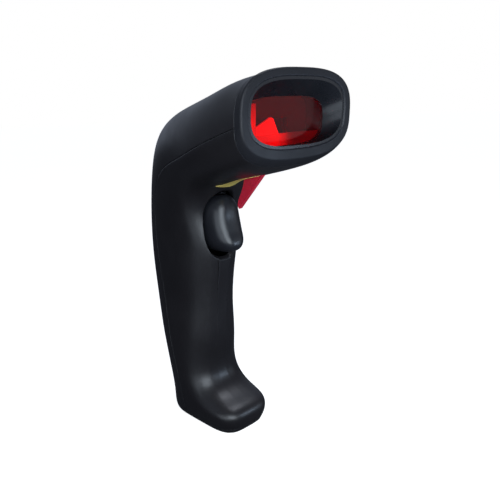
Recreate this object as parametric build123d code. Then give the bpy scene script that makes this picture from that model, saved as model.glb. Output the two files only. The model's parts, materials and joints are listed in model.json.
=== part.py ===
from build123d import *
import os
from math import copysign, cos, hypot, pi, sin

# Hand-held scanner with a pistol grip. Millimetres. X is the width, -Y points out of the nose, +Z is up.
# The origin lies on the flat underside of the foot, below the axis of the grip.

# Outer skin: sections from the nose to the foot. Each one has the outer (top, then back) point and the inner
# (under, then front) point on the symmetry plane, the half width and the exponent of its superellipse.
SECTIONS = [
    # y_out, z_out, y_in, z_in, half width, exponent
    (-67.2, 169.2, -65.2, 134.7, 32.0, 2.9),
    (-55.0, 166.7, -51.6, 128.2, 32.0, 2.9),
    (-39.1, 162.5, -32.8, 123.8, 30.7, 3.0),
    (-18.0, 158.0, -21.0, 118.5, 26.9, 2.7),
    (8.0, 149.0, -15.4, 108.3, 21.5, 2.5),
    (25.5, 122.2, -17.8, 92.5, 17.5, 2.4),
    (30.5, 87.2, -16.5, 78.7, 16.0, 2.4),
    (28.8, 64.6, -13.7, 61.2, 15.0, 2.6),
    (23.9, 41.4, -12.1, 40.6, 16.3, 2.5),
    (18.6, 23.4, -12.0, 22.6, 16.7, 2.5),
    (16.1, 9.8, -22.7, 14.2, 16.9, 3.1),
    (11.4, 0.0, -29.3, 0.0, 13.6, 3.8),
]
SECTION_POINTS = 17          # points along half a section
WALL = 2.2                   # shell wall
SEAM_GAP = 0.2               # open line between the two shells
BOSS_ROOT = 1.0              # how far bosses reach into the wall
FAR = 200.0                  # beyond the whole object
OVERRUN = 3.0                # how far the cavity runs past the open ends of the shells

# Parting line between the shells, side view (y, z), from the nose to the heel.
SEAM = [(-72, 150.5), (-42, 141.5), (-20, 134.6), (-2, 129), (10, 120),
        (14.5, 106), (15, 84), (12, 55), (4, 22), (-1.5, -4)]

# Nose
BEZEL_DEPTH = 3.6
BEZEL_EDGE = 0.8             # rounding of the bezel's outer edge
BEZEL_LIP = 0.5              # bevel of its inner edge
BEZEL_OPENING = (27.7, 13.5, 3.0)
HOOD_MOUTH = (26.6, 12.4, 3.0)
HOOD_WALL = 1.1
HOOD_SETBACK = 0.6
WINDOW_OPENING = (23.4, 9.7, 3.6)
WINDOW_DROP = 3.7            # window centre below the face centre
WINDOW_RECESS = 8.2          # front of the window behind the face
WINDOW_THICK = 1.5
WINDOW_MARGIN = 1.1
FLANGE_THICK = 1.1
GASKET_THICK = 0.9

# Lamp and optics
OPTIC_Z = 146.0
LAMP_DEPTH = 11.0
LAMP_HALF = 24.0
LAMP_LOW = -14.4             # lower edge, in the nose's frame
LAMP_BAR_TOP = -8.6
LAMP_CHEEK = (-14.4, 3.4)    # inner side and top of the lit panel beside the window's near end
PRISM = [(-14.0, -8.5), (-14.0, -5.7), (-5.9, -2.1), (-4.7, -2.6), (-3.5, -4.8), (-1.5, -8.5)]
PRISM_THICK = 1.2
LAMP_BOARD_DROP = 3.6        # lamp board below the lower edge of the diffuser
BAFFLE_DEPTH = 20.0
PLATE = 1.2
LED_PITCH = 8.0
LED_COUNT = 5
BOARD = 1.4                  # circuit board thickness
CHASSIS_Y = (-41.0, -13.2)
CHASSIS_Z = (138.0, 151.0)
CHASSIS_X = 17.0
CHASSIS_WALL = 1.5
CHASSIS_SCREW_X = 12.0
CHASSIS_SCREW_Y = -37.0
BARREL_R = 5.4
SENSOR_Y = CHASSIS_Y[1]

# Trigger
RIM = (14.0, 19.3, 2.3)      # opening's flare at RIM_Y, in front of the skin
RIM_Y = -24.0
RIM_Z = 99.8
MOUTH = (9.3, 14.2, 2.6)     # opening's narrow end, inside the wall
MOUTH_Y = -13.0
MOUTH_Z = 102.2
MOUTH_RUN = 8.0
PAD_OUTLINE = (8.8, 13.5, 2.6)    # trigger pad seen from the front
PAD_Z = 102.45
PAD_PLAN = 3.0               # exponent of its level sections
PAD_BACK = -11.5
PAD_FRONT = [                # z and front y: hollow for the finger, with a toe at the lower end
    (89.2, -22.3),
    (89.9, -24.5),
    (91.4, -26.3),
    (93.6, -26.9),
    (97.0, -26.0),
    (101.0, -24.6),
    (105.5, -23.5),
    (110.0, -22.8),
    (113.3, -21.5),
    (115.0, -20.0),
    (115.7, -18.6),
]
LUG = [(-12, 108.5), (-7, 108.9), (-4.8, 112.5), (-7, 115.6), (-12, 115.8)]    # hinge lug, side view
PIVOT = (-8.0, 112.5)        # y, z of the trigger's hinge
PIN_R = 1.25
RUNNING = 0.05               # radial clearance of running fits
EAR_X = (7.2, 8.6)           # side plates of the trigger frame
PLUNGER_Z = 94.0
PLUNGER_R = 1.65
PLUNGER_TIP = -9.1
SPRING_Z = 103.0
SPRING_PITCH = 1.9
FRAME_Y = -2.4               # front face of the trigger frame's back plate
CLEAR = 0.3                  # gap between bodies that move

# Indicator lens in the crook: a thin fin under the head
LENS_HALF = 1.0
LENS_STEM_HALF = 0.8
LENS_STEM_Y = (-41.0, -36.0)
LENS_FRONT = [(-34.0, 127.4), (-45.8, 127.4), (-29.6, 110.5)]
LENS_BACK = [(-29.6, 110.5), (-29.0, 112.4), (-31.0, 117.2), (-33.0, 121.6), (-34.0, 127.4)]
LENS_BOARD_Z = 129.2

# Foot, socket and fasteners
CAP = 2.4
CAP_LIP = 3.0
CAP_FIT = 0.1                # gap between the cap's lip and the shells
JACK = (15.0, 9.6, 14.8)
JACK_CAVITY = (11.7, 7.0, 12.6)
JACK_Y = 4.2
BOARD_Y = 9.0                # front face of the main board
BEEPER_Z = 80.0
BEEPER_DEPTH = 6.0
GRIP_SCREW_Z = (26.0, 58.0)
GRIP_SCREW_SEAT = (16.2, 24.2)    # y of the shoulders that their heads pull against
CAP_ROUND = 0.8
CONTACT_COUNT = 10
CONTACT_PITCH = 1.02
FOOT_SCREW_Y = -19.5
SCREW_R = 1.25
SCREW_HEAD_R = 2.4

face_y = (SECTIONS[0][0] + SECTIONS[0][2]) / 2
face_z = (SECTIONS[0][1] + SECTIONS[0][3]) / 2
face_rise = SECTIONS[0][1] - SECTIONS[0][3]
face_lean = SECTIONS[0][2] - SECTIONS[0][0]
FACE = Plane(origin=(0, face_y, face_z), x_dir=(1, 0, 0), z_dir=(0, -face_rise, -face_lean))
SIDE = Plane.YZ              # sketches in (y, z), thickness along X


def half_section(station, inset):
    """Right half of one section of the skin, from its outer point to its inner point."""
    y_out, z_out, y_in, z_in, half_width, exponent = station
    half_height = hypot(y_out - y_in, z_out - z_in) / 2
    up_y, up_z = (y_out - y_in) / 2 / half_height, (z_out - z_in) / 2 / half_height
    points = []
    for i in range(SECTION_POINTS):
        angle = pi / 2 - pi * i / (SECTION_POINTS - 1)
        reach = (abs(cos(angle)) ** exponent + abs(sin(angle)) ** exponent) ** (-1 / exponent)
        across = reach * cos(angle) * (half_width - inset)
        if i in (0, SECTION_POINTS - 1):
            across = 0.0
        along = reach * sin(angle) * (half_height - inset)
        points.append((across, (y_out + y_in) / 2 + up_y * along, (z_out + z_in) / 2 + up_z * along))
    return Wire([Spline(*points, tangents=[(1, 0, 0), (-1, 0, 0)])])


def skin(inset=0.0, overrun=0.0):
    """Solid inside the outer skin, moved in by inset; overrun lengthens it past the nose and the foot."""
    halves = [half_section(station, inset) for station in SECTIONS]
    right = Shell.make_loft(halves).faces()[0]
    left = right.mirror(Plane.YZ)
    ends = []
    for half in (halves[0], halves[-1]):
        edge = half.edges()[0]
        ends.append(Face(Wire([edge, edge.mirror(Plane.YZ)])))
    solid = Solid(Shell([right, left] + ends))
    if overrun:
        nose, foot = ends
        nose_way = FACE.z_dir * overrun
        solid = solid + Solid.extrude(nose, nose_way) + Solid.extrude(foot, Vector(0, 0, -overrun))
    return solid


def oval(half_x, half_y, exponent, count=32):
    """Flat face bounded by a superellipse."""
    points = []
    for i in range(count):
        angle = 2 * pi * i / count
        points.append((copysign(abs(cos(angle)) ** (2 / exponent), cos(angle)) * half_x,
                       copysign(abs(sin(angle)) ** (2 / exponent), sin(angle)) * half_y))
    return make_face(Spline(*points, periodic=True))


def grown(outline, margin):
    """Oval larger all round by a margin."""
    half_x, half_y, exponent = outline
    return oval(half_x + margin, half_y + margin, exponent)


def face_slab(outline, front, back, drop=0.0):
    """Extrusion of an outline in the nose's own frame, between two depths behind the face."""
    return FACE * Pos(0, -drop, -back) * extrude(outline, back - front)


def face_box(x, y, depth):
    """Block in the nose's frame: x and y ranges, and a range of depths behind the face."""
    size = (x[1] - x[0], y[1] - y[0], depth[1] - depth[0])
    return FACE * Pos((x[0] + x[1]) / 2, (y[0] + y[1]) / 2, -(depth[0] + depth[1]) / 2) * Box(*size)


def block(x, y, z):
    """Block between three ranges."""
    centre = Pos((x[0] + x[1]) / 2, (y[0] + y[1]) / 2, (z[0] + z[1]) / 2)
    return centre * Box(x[1] - x[0], y[1] - y[0], z[1] - z[0])


def level_slice(low, high):
    """Everything between two heights."""
    return block((-FAR, FAR), (-FAR, FAR), (low, high))


def rod(axis, radius, start, end, at):
    """Cylinder along X, Y or Z from start to end; at is its place on the other two axes, in order."""
    length = end - start
    if axis == "X":
        return Pos((start + end) / 2, *at) * Rot(0, 90, 0) * Cylinder(radius, length)
    if axis == "Y":
        return Pos(at[0], (start + end) / 2, at[1]) * Rot(90, 0, 0) * Cylinder(radius, length)
    return Pos(*at, (start + end) / 2) * Cylinder(radius, length)


def side_plate(outline, half_x):
    """Closed side-view outline given thickness on both sides of the symmetry plane."""
    return extrude(SIDE * make_face(outline), half_x, both=True)


def shell_region(shift):
    """Everything on the front side of the parting line, which is moved forward and down by shift."""
    seam = Spline(*[(y - shift, z - shift) for y, z in SEAM])
    start, end = seam @ 0, seam @ 1
    border = Polyline(end, (-FAR, end.Y), (-FAR, start.Y), start)
    return side_plate(Curve() + [seam, border], FAR)


def trigger_opening():
    """Tapered hole through the front wall: wide at the skin, close to the trigger inside."""
    front = Plane(origin=(0, RIM_Y, RIM_Z), x_dir=(1, 0, 0), z_dir=(0, -1, 0))
    edge = Plane(origin=(0, MOUTH_Y, MOUTH_Z), x_dir=(1, 0, 0), z_dir=(0, -1, 0))
    return loft([front * oval(*RIM), edge * oval(*MOUTH)]) + extrude(edge * oval(*MOUTH), -MOUTH_RUN)


def pad_section(z, front_y):
    """Level section of the trigger pad: straight back edge, blunt rounded front."""
    half_x, half_z, exponent = PAD_OUTLINE
    half_x = half_x * (1 - (abs(z - PAD_Z) / half_z) ** exponent) ** (1 / exponent)
    points = []
    for i in range(SECTION_POINTS):
        angle = pi * i / (SECTION_POINTS - 1)
        reach = (abs(cos(angle)) ** PAD_PLAN + sin(angle) ** PAD_PLAN) ** (-1 / PAD_PLAN)
        points.append((reach * cos(angle) * half_x, PAD_BACK + reach * sin(angle) * (front_y - PAD_BACK), z))
    return make_face([Spline(*points), Line(points[-1], points[0])])


def add_shells():
    """Front shell with its posts and openings, and rear shell with its screw wells."""
    posts = [rod("Y", 2.8, -30, BOARD_Y, (0, z)) for z in GRIP_SCREW_Z]
    posts += [rod("Z", 2.6, 110, CHASSIS_Z[0], (x, CHASSIS_SCREW_Y)) for x in chassis_screws]
    posts.append(rod("Z", 3.2, CAP, 14, (0, FOOT_SCREW_Y)))
    pilots = [rod("Y", SCREW_R, 0.5, BOARD_Y + 1, (0, z)) for z in GRIP_SCREW_Z]
    for x in chassis_screws:
        pilots.append(rod("Z", 1.0, CHASSIS_Z[0] - 9, CHASSIS_Z[0] + 1, (x, CHASSIS_SCREW_Y)))
    pilots.append(rod("Z", SCREW_R, 0, 10, (0, FOOT_SCREW_Y)))
    front = hollow & shell_region(SEAM_GAP / 2)
    front = front + (Compound(posts) & core) - trigger_opening() - lens_slot - pilots
    parts["front_shell"] = front

    wells = [rod("Y", 3.6, BOARD_Y + BOARD, 40, (0, z)) for z in GRIP_SCREW_Z]
    holes = []
    for z, seat in zip(GRIP_SCREW_Z, GRIP_SCREW_SEAT):
        holes.append(rod("Y", SCREW_R + 0.3, 0, 40, (0, z)))
        holes.append(rod("Y", SCREW_HEAD_R + 0.3, seat, 40, (0, z)))
    rear = hollow - shell_region(-SEAM_GAP / 2)
    parts["rear_shell"] = rear + (Compound(wells) & core) - holes


def add_nose():
    """Bezel, funnel-shaped hood, window and its gasket."""
    ring = body & face_box((-FAR, FAR), (-FAR, FAR), (-1, BEZEL_DEPTH))
    edge = ring.edges().filter_by(lambda edge: abs(FACE.to_local_coords(edge.center()).Z) < 0.01)
    ring = fillet(edge, BEZEL_EDGE)
    wide = FACE * Pos(0, 0, 0.01) * grown(BEZEL_OPENING, BEZEL_LIP)
    bevel = loft([wide, FACE * Pos(0, 0, -BEZEL_LIP) * oval(*BEZEL_OPENING)])
    bezel = ring - face_slab(oval(*BEZEL_OPENING), -10, 10) - bevel

    depth = WINDOW_RECESS - FLANGE_THICK
    mouth = FACE * Pos(0, 0, -HOOD_SETBACK)
    throat = FACE * Pos(0, -WINDOW_DROP, -WINDOW_RECESS)
    outer = loft([mouth * grown(HOOD_MOUTH, HOOD_WALL), throat * grown(WINDOW_OPENING, HOOD_WALL)])
    bore = loft([mouth * oval(*HOOD_MOUTH), throat * oval(*WINDOW_OPENING)])
    flange = face_slab(oval(28.5, 12.8, 3.5), depth, WINDOW_RECESS, WINDOW_DROP)
    parts["window_hood"] = outer + flange - bore
    parts["nose_bezel"] = bezel - outer

    pane = grown(WINDOW_OPENING, WINDOW_MARGIN)
    back = WINDOW_RECESS + WINDOW_THICK
    parts["scan_window"] = face_slab(pane, WINDOW_RECESS, back, WINDOW_DROP)
    gasket = face_slab(pane, back, back + GASKET_THICK, WINDOW_DROP)
    parts["window_gasket"] = gasket - face_slab(oval(*WINDOW_OPENING), back - 1, back + 2, WINDOW_DROP)


def add_lamp():
    """Red lamp behind the lower edge of the window, its diffuser and the dark baffle behind."""
    depth = (LAMP_DEPTH, LAMP_DEPTH + PLATE)
    bar = face_box((-LAMP_HALF, LAMP_HALF), (LAMP_LOW, LAMP_BAR_TOP), depth)
    cheek = face_box((-LAMP_HALF, LAMP_CHEEK[0]), (LAMP_LOW, LAMP_CHEEK[1]), depth)
    floor = face_box((-LAMP_HALF, LAMP_HALF), (LAMP_LOW, LAMP_LOW + PLATE), (LAMP_DEPTH, BAFFLE_DEPTH))
    parts["lamp_diffuser"] = bar + cheek + floor
    prism = make_face(Polyline(*PRISM, PRISM[0]))
    parts["marker_prism"] = FACE * Pos(0, 0, -LAMP_DEPTH - PRISM_THICK) * extrude(prism, PRISM_THICK)
    board = LAMP_LOW - LAMP_BOARD_DROP
    parts["lamp_board"] = face_box((-22, 22), (board, board + BOARD), (12.5, 20.5))
    leds = []
    for i in range(LED_COUNT):
        x = (i - (LED_COUNT - 1) / 2) * LED_PITCH
        leds.append(face_box((x - 1.6, x + 1.6), (board + BOARD, LAMP_LOW - 0.6), (15, 18.5)))
    parts["lamp_leds"] = Compound(leds)
    sheet = face_slab(oval(25.8, 10.8, 4.0), BAFFLE_DEPTH, BAFFLE_DEPTH + PLATE, WINDOW_DROP)
    parts["baffle"] = sheet - face_box((-13, 13), (-12, -3.5), (BAFFLE_DEPTH - 1, BAFFLE_DEPTH + 3))


def add_optics():
    """Chassis tray, lens barrel with two lenses, line sensor and its board."""
    tray = block((-CHASSIS_X, CHASSIS_X), CHASSIS_Y, CHASSIS_Z)
    room = block((-CHASSIS_X + CHASSIS_WALL, CHASSIS_X - CHASSIS_WALL), (CHASSIS_Y[0] - 1, CHASSIS_Y[1] + 1),
                 (CHASSIS_Z[0] + CHASSIS_WALL, CHASSIS_Z[1] + 1))
    saddle = block((-CHASSIS_X, CHASSIS_X), (-30, -27), (CHASSIS_Z[0], CHASSIS_Z[1]))
    tray = tray - room + saddle - rod("Y", BARREL_R, -32, -25, (0, OPTIC_Z))
    for x in chassis_screws:
        tray = tray - rod("Z", 1.2, CHASSIS_Z[0] - 1, CHASSIS_Z[0] + 3, (x, CHASSIS_SCREW_Y))
    parts["optics_chassis"] = tray
    barrel = rod("Y", BARREL_R, -35, -23, (0, OPTIC_Z))
    parts["lens_barrel"] = barrel - rod("Y", 4.2, -36, -22, (0, OPTIC_Z))
    lenses = []
    for start, end in ((-34, -31.5), (-27, -25)):
        lenses.append(rod("Y", 4.2, start, end, (0, OPTIC_Z)))
    parts["lens_elements"] = Compound(lenses)
    ring = rod("Y", 6.4, -27, -25.4, (0, OPTIC_Z)) - rod("Y", BARREL_R, -28, -24, (0, OPTIC_Z))
    parts["lens_lock_ring"] = ring
    parts["line_sensor"] = block((-14, 14), (SENSOR_Y - 2.2, SENSOR_Y), (OPTIC_Z - 3, OPTIC_Z + 3))
    parts["sensor_board"] = block((-15, 15), (SENSOR_Y, SENSOR_Y + BOARD), (137, 151))
    screws = []
    for x in chassis_screws:
        top = CHASSIS_Z[0] + CHASSIS_WALL
        shank = rod("Z", 1.0, top - 9, top, (x, CHASSIS_SCREW_Y))
        head = rod("Z", 2.0, top, top + 1.4, (x, CHASSIS_SCREW_Y))
        screws.append((shank + head).solid())
    parts["optics_screws"] = Compound(screws)


def add_trigger():
    """Trigger, hinge pin, frame, return spring, switch and its plunger."""
    pad = loft([pad_section(z, front_y) for z, front_y in PAD_FRONT])
    lug = side_plate(Polyline(*LUG, LUG[0]), EAR_X[0] - CLEAR)
    push = block((-2, 2), (-12, PLUNGER_TIP - CLEAR), (PLUNGER_Z - 1.6, PLUNGER_Z + 1.6))
    parts["trigger"] = pad + lug + push - rod("X", PIN_R + RUNNING, -20, 20, PIVOT)
    parts["trigger_pin"] = rod("X", PIN_R, -EAR_X[1], EAR_X[1], PIVOT)

    ears = [block(x, (-10.5, FRAME_Y), (87.5, 117)) for x in ((-EAR_X[1], -EAR_X[0]), EAR_X)]
    plate = block((-EAR_X[1], EAR_X[1]), (FRAME_Y, FRAME_Y + 1.4), (87.5, 117))
    parts["trigger_frame"] = plate + ears - rod("X", PIN_R, -20, 20, PIVOT)
    coil = Helix(SPRING_PITCH, FRAME_Y - PAD_BACK - 1.0, 2.0)
    wire = Plane(origin=coil @ 0, z_dir=coil % 0) * Circle(0.25)
    spring = sweep(wire, path=coil, is_frenet=True)
    parts["trigger_spring"] = Pos(0, PAD_BACK + 0.5, SPRING_Z) * Rot(-90, 0, 0) * spring

    parts["switch_board"] = block((-6.5, 6.5), (FRAME_Y - BOARD, FRAME_Y), (89, 99))
    front = FRAME_Y - BOARD - 3.5
    case = block((-3, 3), (front, FRAME_Y - BOARD), (PLUNGER_Z - 3, PLUNGER_Z + 3))
    parts["trigger_switch"] = case - rod("Y", PLUNGER_R + RUNNING, front - 1, front + 2.2, (0, PLUNGER_Z))
    parts["switch_plunger"] = rod("Y", PLUNGER_R, PLUNGER_TIP, front + 1.0, (0, PLUNGER_Z))


def add_indicator():
    """Red indicator lens in the crook, with the lamp above its stem."""
    fin = side_plate(Curve() + [Polyline(*LENS_FRONT), Spline(*LENS_BACK)], LENS_HALF) - body
    stem = block((-LENS_STEM_HALF, LENS_STEM_HALF), LENS_STEM_Y, (122.5, 127.4)) & body
    parts["indicator_lens"] = fin + stem
    parts["indicator_board"] = block((-6, 6), (-44, -33), (LENS_BOARD_Z, LENS_BOARD_Z + BOARD))
    parts["indicator_led"] = block((-1.2, 1.2), (-40, -37), (LENS_BOARD_Z - 1.3, LENS_BOARD_Z))


def add_electronics():
    """Main board in the grip with its parts, and the ribbon to the sensor board."""
    board = block((-10.5, 10.5), (BOARD_Y, BOARD_Y + BOARD), (8, 112))
    for z in GRIP_SCREW_Z:
        board = board - rod("Y", SCREW_R + 0.3, 0, 40, (0, z))
    parts["main_board"] = board
    parts["processor"] = block((-5.5, 5.5), (BOARD_Y - 1.4, BOARD_Y), (36, 47))
    parts["memory_chip"] = block((-4, 4), (BOARD_Y - 1.2, BOARD_Y), (64, 70))
    parts["crystal"] = block((5.5, 9.5), (BOARD_Y - 2.4, BOARD_Y), (48.5, 51.5))
    front = BOARD_Y - BEEPER_DEPTH
    at = (0, BEEPER_Z)
    parts["beeper"] = rod("Y", 6.0, front, BOARD_Y, at) - rod("Y", 1.2, front - 1, front + 1.2, at)
    parts["beeper_seal"] = rod("Y", 4.5, front - 0.8, front, at) - rod("Y", 1.6, front - 2, front + 1, at)
    parts["ribbon_header"] = block((-8, 8), (BOARD_Y - 4, BOARD_Y), (104, 109))
    parts["sensor_header"] = block((-8, 8), (SENSOR_Y + BOARD, SENSOR_Y + BOARD + 3.5), (140, 144))
    start_y, end_y = BOARD_Y - 2, SENSOR_Y + BOARD + 3.5
    route = FilletPolyline((start_y, 109), (start_y, 127), (3, 142), (end_y, 142), radius=5)
    parts["ribbon_cable"] = extrude(SIDE * trace(route, 0.4), 6.5, both=True)


def add_foot():
    """End cap, data socket with its contacts and shield, and all housing screws."""
    cavity_x = (-JACK_CAVITY[0] / 2, JACK_CAVITY[0] / 2)
    cap = body & level_slice(-1, CAP)
    edge = cap.edges().group_by(Axis.Z)[0]
    cap = fillet(edge, CAP_ROUND)
    outer = skin(WALL + CAP_FIT, OVERRUN)
    inner = skin(WALL + CAP_FIT + PLATE, OVERRUN)
    lip = (outer - inner) & level_slice(CAP, CAP + CAP_LIP)
    mouth = block(cavity_x, jack_range(JACK_CAVITY[1]), (-1, CAP + 1))
    screw = rod("Z", SCREW_R + 0.3, -1, CAP + 1, (0, FOOT_SCREW_Y))
    well = rod("Z", SCREW_HEAD_R + 0.3, -1, CAP - 1.0, (0, FOOT_SCREW_Y))
    post = rod("Z", 3.5, CAP, 20, (0, FOOT_SCREW_Y))
    board_room = block((-10.8, 10.8), (-5, BOARD_Y + BOARD + 0.3), (CAP, 20))
    parts["grip_end_cap"] = cap + (lip - post - board_room) - mouth - screw - well

    case = block((-JACK[0] / 2, JACK[0] / 2), jack_range(JACK[1]), (CAP, CAP + JACK[2]))
    hole = block(cavity_x, jack_range(JACK_CAVITY[1]), (0, CAP + JACK_CAVITY[2]))
    parts["data_socket"] = case - hole
    contacts = []
    for i in range(CONTACT_COUNT):
        x = (i - (CONTACT_COUNT - 1) / 2) * CONTACT_PITCH
        back = jack_range(JACK_CAVITY[1])[1]
        contacts.append(block((x - 0.2, x + 0.2), (back - 0.8, back), (CAP + 3, CAP + 11)))
    parts["socket_contacts"] = Compound(contacts)
    low, high = jack_range(JACK[1])
    half_x = JACK[0] / 2 + 0.4
    shield = block((-half_x, half_x), (low - 0.4, high), (CAP + 5, CAP + JACK[2] + 0.4))
    parts["socket_shield"] = shield - case

    screws = []
    for z, seat in zip(GRIP_SCREW_Z, GRIP_SCREW_SEAT):
        screw = rod("Y", SCREW_R, 1.0, seat, (0, z)) + rod("Y", SCREW_HEAD_R, seat, seat + 1.8, (0, z))
        screws.append((screw - rod("Y", 1.0, seat + 0.8, seat + 3, (0, z))).solid())
    shank = rod("Z", SCREW_R, CAP - 1.0, 9.5, (0, FOOT_SCREW_Y))
    head = rod("Z", SCREW_HEAD_R, 0.3, CAP - 1.0, (0, FOOT_SCREW_Y))
    screws.append((shank + head).solid())
    parts["housing_screws"] = Compound(screws)


def jack_range(size):
    """Y range of something centred on the data socket."""
    return (JACK_Y - size / 2, JACK_Y + size / 2)


chassis_screws = (-CHASSIS_SCREW_X, CHASSIS_SCREW_X)
body = skin()
cavity = skin(WALL, OVERRUN)
core = skin(WALL - BOSS_ROOT)
behind_bezel = face_box((-FAR, FAR), (-FAR, FAR), (BEZEL_DEPTH, FAR))
hollow = (body - cavity) & behind_bezel & level_slice(CAP, FAR)
lens_slot = block((-LENS_STEM_HALF, LENS_STEM_HALF), LENS_STEM_Y, (118, 135))
parts = {}

add_shells()
add_nose()
add_lamp()
add_optics()
add_trigger()
add_indicator()
add_electronics()
add_foot()

os.makedirs("parts", exist_ok=True)
for name, shape in parts.items():
    solids = shape.solids()
    export_step(solids[0] if len(solids) == 1 else Compound(list(solids)), f"parts/{name}.step")
    print(name, len(solids), round(sum(solid.volume for solid in solids)))
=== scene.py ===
import json
from math import cos, radians, sin

import bpy
from mathutils import Matrix, Vector


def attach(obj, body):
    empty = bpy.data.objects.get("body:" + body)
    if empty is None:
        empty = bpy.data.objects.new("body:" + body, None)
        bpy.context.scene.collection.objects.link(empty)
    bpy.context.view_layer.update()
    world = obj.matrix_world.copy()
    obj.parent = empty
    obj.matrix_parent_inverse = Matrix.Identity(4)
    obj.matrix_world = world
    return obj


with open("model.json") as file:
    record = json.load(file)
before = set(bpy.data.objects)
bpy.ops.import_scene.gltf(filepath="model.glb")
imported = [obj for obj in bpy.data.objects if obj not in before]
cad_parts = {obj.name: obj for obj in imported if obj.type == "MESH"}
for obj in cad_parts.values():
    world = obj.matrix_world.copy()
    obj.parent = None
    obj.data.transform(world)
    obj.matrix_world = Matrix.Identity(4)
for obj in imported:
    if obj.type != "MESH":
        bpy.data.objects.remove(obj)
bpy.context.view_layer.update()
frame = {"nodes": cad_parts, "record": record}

MM = 0.001
WHITE = (1.0, 1.0, 1.0, 1.0)

# Camera: the direction it looks from, its roll and its distance, in the row's frame.
AZIMUTH = -43.7              # degrees from straight in front of the nose, towards the near side
ELEVATION = 14.6
ROLL = 2.1
DISTANCE = 271 * MM
AIM = Vector((0, -10, 90)) * MM
AIM_RIGHT = 17.2 * MM        # from the aim point to the middle of the view
AIM_UP = -1.9 * MM
SENSOR = 36.0
LENS = 40.32
CLIP_START = 10 * MM

# Lights: name, direction from what it faces, distance, side, power, colour, what it faces.
NOSE = Vector((25, -62, 150)) * MM
TRIGGER = Vector((-5, -24, 98)) * MM
TOE = Vector((0, -12, 22)) * MM
FOOT = Vector((-4, -28, 12)) * MM
LIGHTS = [
    ("trigger_softbox", (-0.36, -0.89, 0.20), 0.25, 0.20, 0.76, (0.80, 0.90, 1.0), TRIGGER),
    ("foot_softbox", (0.50, -0.84, 0.20), 0.25, 0.06, 0.12, (0.62, 0.78, 1.0), TOE),
    ("top_softbox", (0.42, 0.0, 0.91), 0.7, 0.07, 0.80, (0.86, 0.90, 1.0), FOOT),
    ("funnel_card", (-0.94, -0.22, -0.15), 0.3, 0.2, 0.26, (0.78, 0.88, 1.0), NOSE),
    ("pane_card", (0.751, -0.653, -0.02), 0.4, 0.22, 0.06, (0.92, 0.95, 1.0), NOSE),
]

# Surround: the side its glow comes from, and the glow from the dark side (0) to the bright one (1).
GLOW_SIDE = Vector((0.05, 0.82, 0.57)).normalized()
GLOW = [
    (0.0, (0.10, 0.10, 0.11)),
    (0.55, (0.10, 0.10, 0.12)),
    (0.85, (0.31, 0.35, 0.44)),
    (1.0, (0.38, 0.43, 0.53)),
]

FLOOR_RADIUS = 6.0
FLOOR_SIDES = 128
FLOOR_GLOW = 0.86            # brings the pale floor up to white for the eye
FLOOR_BOUNCE = (0.10, 0.10, 0.11, 1.0)    # what the floor is to bounced light

# Materials.
OWN_LOOK = {"marker_prism": "prism_red", "baffle": "baffle_grey"}    # nodes that differ from their slot
NOISE_USUAL = (0.3, 0.7)     # the range that noise seldom leaves
BEVEL_SAMPLES = 4
EASED_RADIUS = 0.6 * MM      # edges as the mould leaves them
# Painted highlight: a lighter tone mixed in along sharp edges stands in for the light their rounded edges
# catch.
EDGE_HIGHLIGHT_RADIUS = 0.5 * MM
EDGE_HIGHLIGHT_MOST = 0.7              # share of the painted highlight tone on the sharpest edge
EDGE_HIGHLIGHT_FLAT, EDGE_HIGHLIGHT_SHARP = 1.0, 0.8    # agreement of the rounded and the plain normal
BOUNCED_SHARE = 0.1          # how much of the red glows, painted for the eye, bounced light gets
SIDEWAYS_GLOW_SHARE = 0.4        # glow of the faces that look sideways, a painted shade against those that look forward
RED_GLOW_STREAKS = (1.0, 0.6, 0.4)
# Painted light on the lamp's diffuser: its glow is made brightest at the near lower corner and falls off over
# these spans.
RED_GLOW_WIDTH = (-5 * MM, 9 * MM)      # across the diffuser, over which its painted glow dies away
RED_GLOW_FAR = 0.14
RED_GLOW_HEIGHT = (147 * MM, 157 * MM)
RED_GLOW_TOP = 0.45
RED_GLOW_RAMP = [(0.0, (0.010, 0.001, 0.002)), (0.35, (0.15, 0.003, 0.012)), (1.0, (0.72, 0.002, 0.010))]

# Painted highlight: an amber sliver under the head stands in for the warm reflection in the crease. Outer and
# inner edge seen from below (x, y, x, y), from the grip forwards, in millimetres.
CREASE_HIGHLIGHT_EDGES = [
    (-10.4, -25.5, -9.9, -25.0),
    (-7.6, -26.6, -5.2, -23.9),
    (-6.2, -29.0, -0.5, -23.4),
    (-6.0, -32.0, 1.6, -25.0),
    (-6.4, -35.0, -0.2, -30.0),
    (-6.4, -37.5, -1.7, -34.0),
    (-6.0, -39.5, -1.7, -38.5),
    (-4.4, -42.4, -1.7, -42.4),
    (-2.2, -44.4, -1.7, -44.4),
]
CREASE_HIGHLIGHT_COLUMNS = 4
CREASE_HIGHLIGHT_BELOW = 118.8          # a height just under the head, in millimetres
CREASE_HIGHLIGHT_LIFT = 0.09 * MM
CREASE_HIGHLIGHT_THICK = 0.1 * MM


# ---- node helpers ----------------------------------------------------------------------------------------

def new_material(name):
    """Empty node material with a Principled shader; returns it, its nodes, its links and the shader."""
    material = bpy.data.materials.new(name)
    material["slot"] = name
    material.use_nodes = True
    tree = material.node_tree
    return material, tree.nodes, tree.links, tree.nodes["Principled BSDF"]


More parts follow.
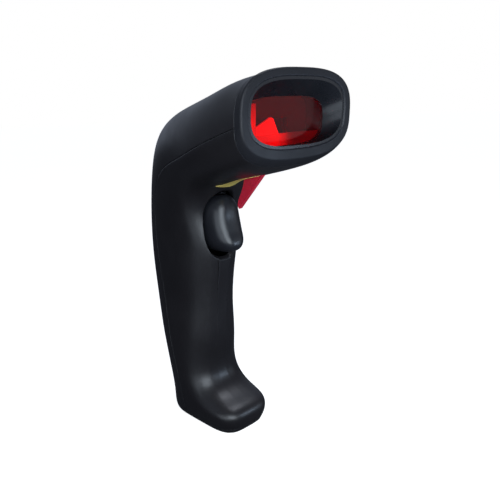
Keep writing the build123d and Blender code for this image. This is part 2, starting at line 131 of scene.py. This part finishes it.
def noise(nodes, links, scale, detail=3.0, roughness=0.5, stretch=None):
    """Noise in the object's own coordinates; scale is features per metre."""
    coords = nodes.new("ShaderNodeTexCoord")
    texture = nodes.new("ShaderNodeTexNoise")
    texture.inputs["Scale"].default_value = scale
    texture.inputs["Detail"].default_value = detail
    texture.inputs["Roughness"].default_value = roughness
    place = coords.outputs["Object"]
    if stretch is not None:
        mapping = nodes.new("ShaderNodeMapping")
        mapping.inputs["Scale"].default_value = stretch
        links.new(place, mapping.inputs["Vector"])
        place = mapping.outputs["Vector"]
    links.new(place, texture.inputs["Vector"])
    return texture.outputs["Fac"]


def ramp(nodes, links, source, stops):
    """Colour ramp over a value; stops are (place, colour)."""
    node = nodes.new("ShaderNodeValToRGB")
    elements = node.color_ramp.elements
    while len(elements) < len(stops):
        elements.new(0.5)
    for element, (place, colour) in zip(elements, stops):
        element.position = place
        element.color = (*colour, 1.0)
    links.new(source, node.inputs["Fac"])
    return node.outputs["Color"]


def two_tone(nodes, links, source, dark, light):
    """Noise as a tone between two colours."""
    return ramp(nodes, links, source, list(zip(NOISE_USUAL, (dark, light))))


def map_range(nodes, links, source, before=(0.0, 1.0), after=(0.0, 1.0), smooth=False):
    """Value mapped from one range to another."""
    node = nodes.new("ShaderNodeMapRange")
    if smooth:
        node.interpolation_type = "SMOOTHSTEP"
    for end, value in zip(("From Min", "From Max", "To Min", "To Max"), (*before, *after)):
        node.inputs[end].default_value = value
    links.new(source, node.inputs["Value"])
    return node.outputs["Result"]


def spread(nodes, links, source, low, high):
    """Noise mapped from its usual range to low..high."""
    return map_range(nodes, links, source, NOISE_USUAL, (low, high))


def join(nodes, links, kind, operation, first, second):
    """Math or vector math node over a linked value and a second one, linked or fixed."""
    node = nodes.new(kind)
    node.operation = operation
    links.new(first, node.inputs[0])
    if isinstance(second, bpy.types.NodeSocket):
        links.new(second, node.inputs[1])
    else:
        node.inputs[1].default_value = second
    return node.outputs["Value"]


def times(nodes, links, first, second):
    """Product of two values."""
    return join(nodes, links, "ShaderNodeMath", "MULTIPLY", first, second)


def dot(nodes, links, first, second):
    """Dot product of two directions."""
    return join(nodes, links, "ShaderNodeVectorMath", "DOT_PRODUCT", first, second)


def bump(nodes, links, source, depth, strength=1.0, base=None):
    """Bump of the given depth in metres, stacked on another normal if one is given."""
    node = nodes.new("ShaderNodeBump")
    node.inputs["Strength"].default_value = strength
    node.inputs["Distance"].default_value = depth
    links.new(source, node.inputs["Height"])
    if base is not None:
        links.new(base, node.inputs["Normal"])
    return node.outputs["Normal"]


def eased_edges(nodes, radius):
    """Normal that rounds sharp edges off, as a mould does."""
    node = nodes.new("ShaderNodeBevel")
    node.samples = BEVEL_SAMPLES
    node.inputs["Radius"].default_value = radius
    return node.outputs["Normal"]


def painted_edge_highlight(nodes, links, base, highlight_tone):
    """Mixes a lighter tone in along sharp edges: a painted highlight, standing in for the light that eased
    edges catch.
    """
    geometry = nodes.new("ShaderNodeNewGeometry")
    agreement = dot(nodes, links, eased_edges(nodes, EDGE_HIGHLIGHT_RADIUS), geometry.outputs["Normal"])
    share = map_range(nodes, links, agreement, (EDGE_HIGHLIGHT_FLAT, EDGE_HIGHLIGHT_SHARP), (0.0, EDGE_HIGHLIGHT_MOST))
    mix = nodes.new("ShaderNodeMix")
    mix.data_type = "RGBA"
    links.new(share, mix.inputs["Factor"])
    links.new(base, mix.inputs[6])        # 6, 7 and output 2 are the node's colour sockets
    mix.inputs[7].default_value = (*highlight_tone, 1.0)
    return mix.outputs[2]


def seen_only(nodes, links, value):
    """Value as it is where the surface is seen, straight or through the window, and dimmed for bounces."""
    path = nodes.new("ShaderNodeLightPath")
    bounces = join(nodes, links, "ShaderNodeMath", "MAXIMUM", path.outputs["Diffuse Depth"],
                   path.outputs["Glossy Depth"])
    return times(nodes, links, map_range(nodes, links, bounces, after=(1.0, BOUNCED_SHARE)), value)


def by_ray(nodes, links, bounced, seen, output):
    """Joins one shader for bounced light and another for the eye at the tree's output."""
    path = nodes.new("ShaderNodeLightPath")
    mix = nodes.new("ShaderNodeMixShader")
    links.new(path.outputs["Is Camera Ray"], mix.inputs["Fac"])
    links.new(bounced, mix.inputs[1])
    links.new(seen, mix.inputs[2])
    links.new(mix.outputs["Shader"], nodes[output].inputs["Surface"])


# ---- materials -------------------------------------------------------------------------------------------

def moulded_plastic(name, dark, light, rough, grain=2600.0, depth=0.010, specular=0.5, highlight_tone=None):
    """Injection-moulded plastic: spark-eroded grain, faint flow marks in tone and gloss; with a highlight
    tone, eased edges and a painted highlight along them.
    """
    material, nodes, links, shader = new_material(name)
    tone = two_tone(nodes, links, noise(nodes, links, 38.0, 4.0), dark, light)
    normal = None
    # a lighter tone along sharp edges: painted highlight
    if highlight_tone is not None:
        tone = painted_edge_highlight(nodes, links, tone, highlight_tone)
        normal = eased_edges(nodes, EASED_RADIUS)
    links.new(tone, shader.inputs["Base Color"])
    links.new(spread(nodes, links, noise(nodes, links, 110.0, 5.0), *rough), shader.inputs["Roughness"])
    shader.inputs["Specular IOR Level"].default_value = specular
    waves = bump(nodes, links, noise(nodes, links, 60.0, 1.0), 0.04 * MM, 0.15, normal)
    fine = bump(nodes, links, noise(nodes, links, grain, 2.0, 0.7), depth * MM, 0.6, waves)
    links.new(fine, shader.inputs["Normal"])
    return material


def brushed_metal(name, dark, light, rough, stretch=(400, 400, 4000)):
    """Metal with fine drawing lines."""
    material, nodes, links, shader = new_material(name)
    lines = noise(nodes, links, 1.0, 4.0, 0.6, stretch)
    links.new(two_tone(nodes, links, lines, dark, light), shader.inputs["Base Color"])
    links.new(spread(nodes, links, lines, *rough), shader.inputs["Roughness"])
    shader.inputs["Metallic"].default_value = 1.0
    links.new(bump(nodes, links, lines, 0.01 * MM, 0.3), shader.inputs["Normal"])
    return material


def circuit_board(name):
    """Green solder mask with pads and traces as a fine grid of tones."""
    material, nodes, links, shader = new_material(name)
    coords = nodes.new("ShaderNodeTexCoord")
    bricks = nodes.new("ShaderNodeTexBrick")
    bricks.inputs["Color1"].default_value = (0.010, 0.085, 0.035, 1)
    bricks.inputs["Color2"].default_value = (0.014, 0.110, 0.045, 1)
    bricks.inputs["Mortar"].default_value = (0.030, 0.180, 0.070, 1)
    bricks.inputs["Scale"].default_value = 160.0
    bricks.inputs["Mortar Size"].default_value = 0.03
    links.new(coords.outputs["Object"], bricks.inputs["Vector"])
    links.new(bricks.outputs["Color"], shader.inputs["Base Color"])
    links.new(spread(nodes, links, noise(nodes, links, 300.0), 0.28, 0.42), shader.inputs["Roughness"])
    links.new(bump(nodes, links, bricks.outputs["Fac"], 0.02 * MM, 0.5), shader.inputs["Normal"])
    return material


def red_window(name):
    """Clear red acrylic, polished, with the faintest ripple."""
    material, nodes, links, shader = new_material(name)
    tint = two_tone(nodes, links, noise(nodes, links, 25.0, 1.0), (0.88, 0.05, 0.07), (0.93, 0.06, 0.08))
    links.new(tint, shader.inputs["Base Color"])
    links.new(spread(nodes, links, noise(nodes, links, 220.0, 4.0), 0.02, 0.05), shader.inputs["Roughness"])
    shader.inputs["Transmission Weight"].default_value = 0.98
    shader.inputs["IOR"].default_value = 1.35
    links.new(bump(nodes, links, noise(nodes, links, 45.0, 0.0), 0.02 * MM, 0.2), shader.inputs["Normal"])
    return material


def led_and_painted_glow(name, dim, bright, strength):
    """Red glow for the eye, streaked, with only a small share for bounced light: a lit LED, and on the marker
    prism a painted reflection; faces that look forward are the brightest, a painted shade on the others.
    """
    material, nodes, links, shader = new_material(name)
    streaks = noise(nodes, links, 190.0, 2.0, 0.5, RED_GLOW_STREAKS)
    glow = ramp(nodes, links, streaks, [(0.35, dim), (0.65, bright)])
    links.new(glow, shader.inputs["Base Color"])
    links.new(glow, shader.inputs["Emission Color"])
    geometry = nodes.new("ShaderNodeNewGeometry")
    # painted shade: faces that look sideways glow less than those that look forward
    facing = dot(nodes, links, geometry.outputs["Normal"], (0.0, -1.0, 0.0))
    power = map_range(nodes, links, facing, after=(strength * SIDEWAYS_GLOW_SHARE, strength))
    links.new(seen_only(nodes, links, power), shader.inputs["Emission Strength"])
    links.new(spread(nodes, links, noise(nodes, links, 400.0), 0.25, 0.4), shader.inputs["Roughness"])
    return material


def diffuser_with_painted_falloff(name):
    """Diffuser of the lamp, glowing for the eye, with a painted pool of light: bright at the near lower
    corner, dying away towards the far end and the top.
    """
    material, nodes, links, shader = new_material(name)
    coords = nodes.new("ShaderNodeTexCoord")
    split = nodes.new("ShaderNodeSeparateXYZ")
    links.new(coords.outputs["Object"], split.inputs["Vector"])
    # painted light: the glow falls off across the diffuser and upwards
    along = map_range(nodes, links, split.outputs["X"], RED_GLOW_WIDTH, (1.0, RED_GLOW_FAR), smooth=True)
    height = map_range(nodes, links, split.outputs["Z"], RED_GLOW_HEIGHT, (1.0, RED_GLOW_TOP), smooth=True)
    streaks = spread(nodes, links, noise(nodes, links, 150.0, 2.0, 0.5, RED_GLOW_STREAKS), 0.85, 1.1)
    level = times(nodes, links, times(nodes, links, along, height), streaks)
    glow = ramp(nodes, links, level, RED_GLOW_RAMP)
    links.new(glow, shader.inputs["Base Color"])
    links.new(glow, shader.inputs["Emission Color"])
    links.new(seen_only(nodes, links, 1.0), shader.inputs["Emission Strength"])
    links.new(spread(nodes, links, noise(nodes, links, 400.0), 0.3, 0.45), shader.inputs["Roughness"])
    return material


def red_lens(name):
    """Red polycarbonate lens, slightly frosted."""
    material, nodes, links, shader = new_material(name)
    tone = two_tone(nodes, links, noise(nodes, links, 70.0, 2.0), (0.42, 0.010, 0.030), (0.56, 0.015, 0.042))
    links.new(tone, shader.inputs["Base Color"])
    links.new(spread(nodes, links, noise(nodes, links, 500.0), 0.35, 0.5), shader.inputs["Roughness"])
    shader.inputs["Subsurface Weight"].default_value = 0.2
    shader.inputs["Subsurface Scale"].default_value = 1.0 * MM
    links.new(bump(nodes, links, noise(nodes, links, 1500.0), 0.01 * MM, 0.4), shader.inputs["Normal"])
    return material


def coated_glass(name):
    """Small glass lens with a faint coating tint."""
    material, nodes, links, shader = new_material(name)
    tint = two_tone(nodes, links, noise(nodes, links, 90.0), (0.70, 0.80, 0.95), (0.80, 0.72, 0.95))
    links.new(tint, shader.inputs["Base Color"])
    links.new(spread(nodes, links, noise(nodes, links, 300.0), 0.02, 0.05), shader.inputs["Roughness"])
    shader.inputs["Transmission Weight"].default_value = 1.0
    return material


def make_materials():
    """One material for each material slot of the record, and one for each look of its own."""
    made = [
        # the lighter bluish last tones of housing, bezel and trigger are painted edge highlights
        moulded_plastic("housing_black", (0.0066, 0.0058, 0.0068), (0.0090, 0.0080, 0.0092), (0.35, 0.42),
                        highlight_tone=(0.020, 0.021, 0.025)),
        moulded_plastic("bezel_black", (0.0085, 0.0088, 0.0110), (0.0140, 0.0145, 0.0180), (0.40, 0.55),
                        specular=0.25, highlight_tone=(0.055, 0.060, 0.073)),
        moulded_plastic("hood_black", (0.006, 0.0065, 0.009), (0.010, 0.011, 0.014), (0.24, 0.32),
                        1800.0, 0.002),
        moulded_plastic("trigger_black", (0.008, 0.0085, 0.011), (0.011, 0.012, 0.015), (0.29, 0.36),
                        depth=0.006, highlight_tone=(0.022, 0.023, 0.028)),
        moulded_plastic("baffle_grey", (0.020, 0.020, 0.021), (0.034, 0.033, 0.034), (0.6, 0.75)),
        moulded_plastic("chassis_black", (0.012, 0.012, 0.013), (0.020, 0.020, 0.021), (0.5, 0.65)),
        moulded_plastic("socket_black", (0.010, 0.010, 0.010), (0.016, 0.016, 0.016), (0.45, 0.6)),
        moulded_plastic("foam_black", (0.008, 0.008, 0.008), (0.020, 0.020, 0.020), (0.85, 0.95),
                        1400.0, 0.15),
        moulded_plastic("chip_black", (0.014, 0.014, 0.015), (0.020, 0.020, 0.022), (0.4, 0.5)),
        moulded_plastic("plunger_plastic", (0.60, 0.58, 0.52), (0.68, 0.66, 0.60), (0.35, 0.5)),
        moulded_plastic("connector_white", (0.66, 0.64, 0.58), (0.74, 0.72, 0.66), (0.4, 0.55)),
        moulded_plastic("ribbon_film", (0.66, 0.50, 0.10), (0.86, 0.70, 0.20), (0.3, 0.4)),
        circuit_board("circuit_board"),
        brushed_metal("lens_metal", (0.03, 0.03, 0.032), (0.06, 0.06, 0.065), (0.35, 0.5)),
        brushed_metal("screw_steel", (0.35, 0.35, 0.36), (0.55, 0.55, 0.57), (0.3, 0.45)),
        brushed_metal("pin_steel", (0.50, 0.50, 0.52), (0.65, 0.65, 0.67), (0.15, 0.25), (6000, 400, 400)),
        brushed_metal("spring_steel", (0.40, 0.40, 0.41), (0.58, 0.58, 0.60), (0.2, 0.35)),
        brushed_metal("crystal_can", (0.60, 0.60, 0.62), (0.72, 0.72, 0.74), (0.2, 0.3)),
        brushed_metal("contact_gold", (0.80, 0.55, 0.20), (0.90, 0.66, 0.30), (0.15, 0.25)),
        brushed_metal("shield_tin", (0.55, 0.56, 0.58), (0.68, 0.69, 0.71), (0.25, 0.4)),
        red_window("window_red"),
        diffuser_with_painted_falloff("lamp_red"),
        # the marker prism's glow is a painted reflection inside the window
        led_and_painted_glow("prism_red", (0.95, 0.006, 0.010), (1.0, 0.030, 0.020), 1.25),
        led_and_painted_glow("led_red", (0.9, 0.02, 0.02), (1.0, 0.06, 0.03), 3.0),
        red_lens("lens_red"),
        coated_glass("lens_glass"),
    ]
    return {material["slot"]: material for material in made}


# ---- added pieces ----------------------------------------------------------------------------------------

def add_painted_crease_highlight(shell, film):
    """Painted highlight: a thin amber sliver on the underside of the head, beside the indicator lens, for the
    warm reflection in the crease where the head meets the grip.
    """
    verts, faces = [], []
    for row in CREASE_HIGHLIGHT_EDGES:
        outer, inner = Vector((*row[:2], CREASE_HIGHLIGHT_BELOW)) * MM, Vector((*row[2:], CREASE_HIGHLIGHT_BELOW)) * MM
        for i in range(CREASE_HIGHLIGHT_COLUMNS + 1):
            _, place, facing, _ = shell.ray_cast(outer.lerp(inner, i / CREASE_HIGHLIGHT_COLUMNS), (0, 0, 1))
            verts.append(place + facing * CREASE_HIGHLIGHT_LIFT)
    across = CREASE_HIGHLIGHT_COLUMNS + 1
    for row in range(len(CREASE_HIGHLIGHT_EDGES) - 1):
        for i in range(CREASE_HIGHLIGHT_COLUMNS):
            corner = row * across + i
            faces.append((corner, corner + 1, corner + across + 1, corner + across))
    mesh = bpy.data.meshes.new("painted_crease_highlight")
    mesh.from_pydata(verts, [], faces)
    mesh.update()
    highlight_sliver = bpy.data.objects.new("painted_crease_highlight", mesh)
    bpy.context.scene.collection.objects.link(highlight_sliver)
    solidify = highlight_sliver.modifiers.new("thickness", "SOLIDIFY")
    solidify.thickness = CREASE_HIGHLIGHT_THICK
    solidify.offset = 0.0
    mesh.materials.append(film)
    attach(highlight_sliver, "housing")


# ---- stage -----------------------------------------------------------------------------------------------

def add_floor():
    """Round pale floor, white to the eye; it throws little light back up, like paper in a dark studio."""
    bpy.ops.mesh.primitive_circle_add(vertices=FLOOR_SIDES, radius=FLOOR_RADIUS, fill_type="NGON",
                                      location=(0, 0, 0))
    floor = bpy.context.object
    floor.name = "floor"
    material, nodes, links, shader = new_material("floor_pale")
    paper = two_tone(nodes, links, noise(nodes, links, 6.0), (0.60, 0.60, 0.60), (0.62, 0.62, 0.62))
    links.new(paper, shader.inputs["Base Color"])
    shader.inputs["Roughness"].default_value = 0.9
    shader.inputs["Specular IOR Level"].default_value = 0.0
    shader.inputs["Emission Color"].default_value = WHITE
    shader.inputs["Emission Strength"].default_value = FLOOR_GLOW
    bounced = nodes.new("ShaderNodeBsdfDiffuse")
    bounced.inputs["Color"].default_value = FLOOR_BOUNCE
    by_ray(nodes, links, bounced.outputs["BSDF"], shader.outputs["BSDF"], "Material Output")
    floor.data.materials.append(material)


def add_light(name, way, distance, side, power, colour, aim):
    """Square softbox in a direction from what it faces."""
    light = bpy.data.lights.new(name, "AREA")
    light.shape = "SQUARE"
    light.size = side
    light.energy = power
    light.color = colour
    lamp = bpy.data.objects.new(name, light)
    direction = Vector(way).normalized()
    lamp.location = aim + direction * distance
    lamp.rotation_euler = direction.to_track_quat("Z", "Y").to_euler()
    lamp.visible_camera = False
    bpy.context.scene.collection.objects.link(lamp)


def set_world():
    """Surround: white to the eye; as light, a soft glow from above and behind that falls to dark in front."""
    world = bpy.data.worlds.new("surround")
    bpy.context.scene.world = world
    world.use_nodes = True
    nodes, links = world.node_tree.nodes, world.node_tree.links
    coords = nodes.new("ShaderNodeTexCoord")
    facing = dot(nodes, links, coords.outputs["Generated"], GLOW_SIDE)
    glow = ramp(nodes, links, map_range(nodes, links, facing, before=(-1.0, 1.0)), GLOW)
    bounced = nodes["Background"]
    links.new(glow, bounced.inputs["Color"])
    bounced.inputs["Strength"].default_value = 1.0
    seen = nodes.new("ShaderNodeBackground")
    seen.inputs["Color"].default_value = WHITE
    seen.inputs["Strength"].default_value = 1.0
    by_ray(nodes, links, bounced.outputs["Background"], seen.outputs["Background"], "World Output")


def add_camera():
    """Camera at the photographed viewing angle."""
    azimuth, elevation, roll = radians(AZIMUTH), radians(ELEVATION), radians(ROLL)
    back = Vector((sin(azimuth) * cos(elevation), -cos(azimuth) * cos(elevation), sin(elevation)))
    level_right = Vector((0, 0, 1)).cross(back).normalized()
    level_up = back.cross(level_right)
    right = level_right * cos(roll) - level_up * sin(roll)
    up = level_right * sin(roll) + level_up * cos(roll)
    data = bpy.data.cameras.new("camera")
    data.sensor_width = SENSOR
    data.lens = LENS
    data.clip_start = CLIP_START
    camera = bpy.data.objects.new("camera", data)
    place = AIM + right * AIM_RIGHT + up * AIM_UP + back * DISTANCE
    turn = Matrix((right, up, back)).transposed().to_4x4()
    camera.matrix_world = Matrix.Translation(place) @ turn
    bpy.context.scene.collection.objects.link(camera)
    bpy.context.scene.camera = camera


bpy.context.scene.view_settings.view_transform = "Standard"
materials = make_materials()
for row in frame["record"]["subparts"]:
    node = frame["nodes"][row["node"]]
    node.data.materials.clear()
    slot = OWN_LOOK.get(row["node"], row["material_slot"])
    node.data.materials.append(materials[slot])

# painted highlight in the crease under the head, in the amber of the ribbon film
add_painted_crease_highlight(frame["nodes"]["front_shell"], materials["ribbon_film"])
add_floor()
set_world()
add_camera()
for settings in LIGHTS:
    add_light(*settings)
